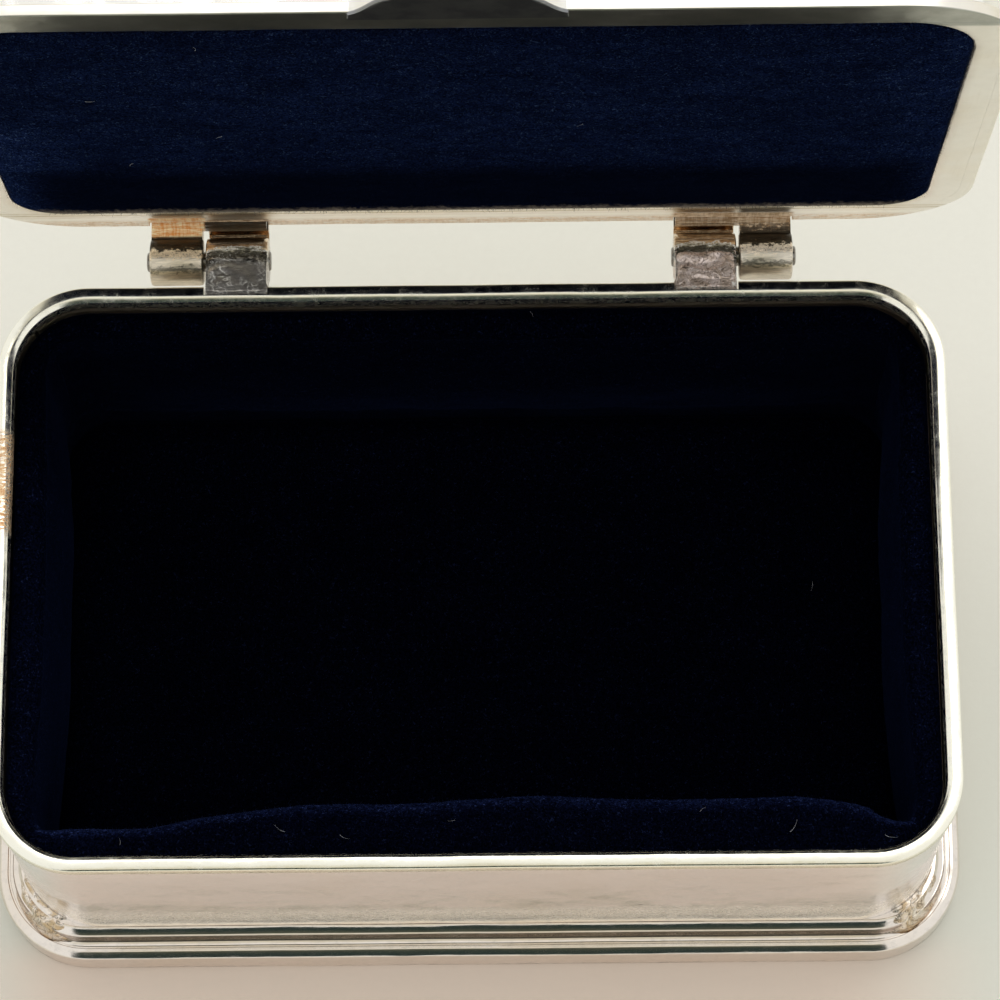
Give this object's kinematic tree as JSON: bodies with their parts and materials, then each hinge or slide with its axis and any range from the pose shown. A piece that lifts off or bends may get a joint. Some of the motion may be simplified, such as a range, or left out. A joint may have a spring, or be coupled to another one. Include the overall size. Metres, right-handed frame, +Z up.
{
  "type": "trinket box",
  "caption": "Rectangular metal trinket box with rounded corners, a stepped foot, a hinged cushion lid with a thumbpiece, and a padded velvet lining.",
  "frame": {"origin": "centre of the base's flat underside, on the plane the box stands on", "axes": "+Z up, -Z out of the underside; +Y from the front towards the hinges; +X to the right seen from the front; the lid stands open"},
  "size_m": [0.0946, 0.0716, 0.0972],
  "materials": {
    "silver_wall": "polished silver plate with fine horizontal scratches",
    "silver_foot": "polished silver plate, yellowed solder in the corners",
    "silver_rim": "polished silver plate, worn to copper in places",
    "silver_lid": "polished silver plate",
    "silver_land": "polished silver plate, faint warm tarnish",
    "hinge_metal": "scratched silver plate with copper showing",
    "worn_copper_hinge": "silver plate worn through to copper",
    "pin_metal": "satin",
    "navy_velvet": "deep navy velvet pile",
    "lining_card": "plain stiffening card behind the velvet"
  },
  "bodies": {
    "base": {"base_wall": "silver_wall", "base_plate": "silver_wall", "foot_moulding": "silver_foot", "rim_bead": "silver_rim", "body_knuckle_left": "hinge_metal", "body_knuckle_right": "hinge_metal", "hinge_pin_left": "pin_metal", "hinge_pin_right": "pin_metal", "floor_velvet": "navy_velvet", "floor_board": "lining_card", "front_velvet": "navy_velvet", "back_velvet": "navy_velvet", "left_velvet": "navy_velvet", "right_velvet": "navy_velvet", "front_card": "lining_card", "back_card": "lining_card", "left_card": "lining_card", "right_card": "lining_card"},
    "lid": {"lid_shell": "silver_lid", "lid_bead": "silver_land", "lid_frame": "silver_land", "thumbpiece": "silver_land", "lid_velvet": "navy_velvet", "lid_board": "lining_card", "lid_hinge_left": "worn_copper_hinge", "lid_hinge_right": "worn_copper_hinge"}
  },
  "joints": [
    {"name": "lid_hinge", "type": "hinge", "parent": "base", "child": "lid", "pos_m": [0, 0.0322, 0.0299], "axis": [-1, 0, 0], "range_deg": [-84.4, 0]}
  ]
}
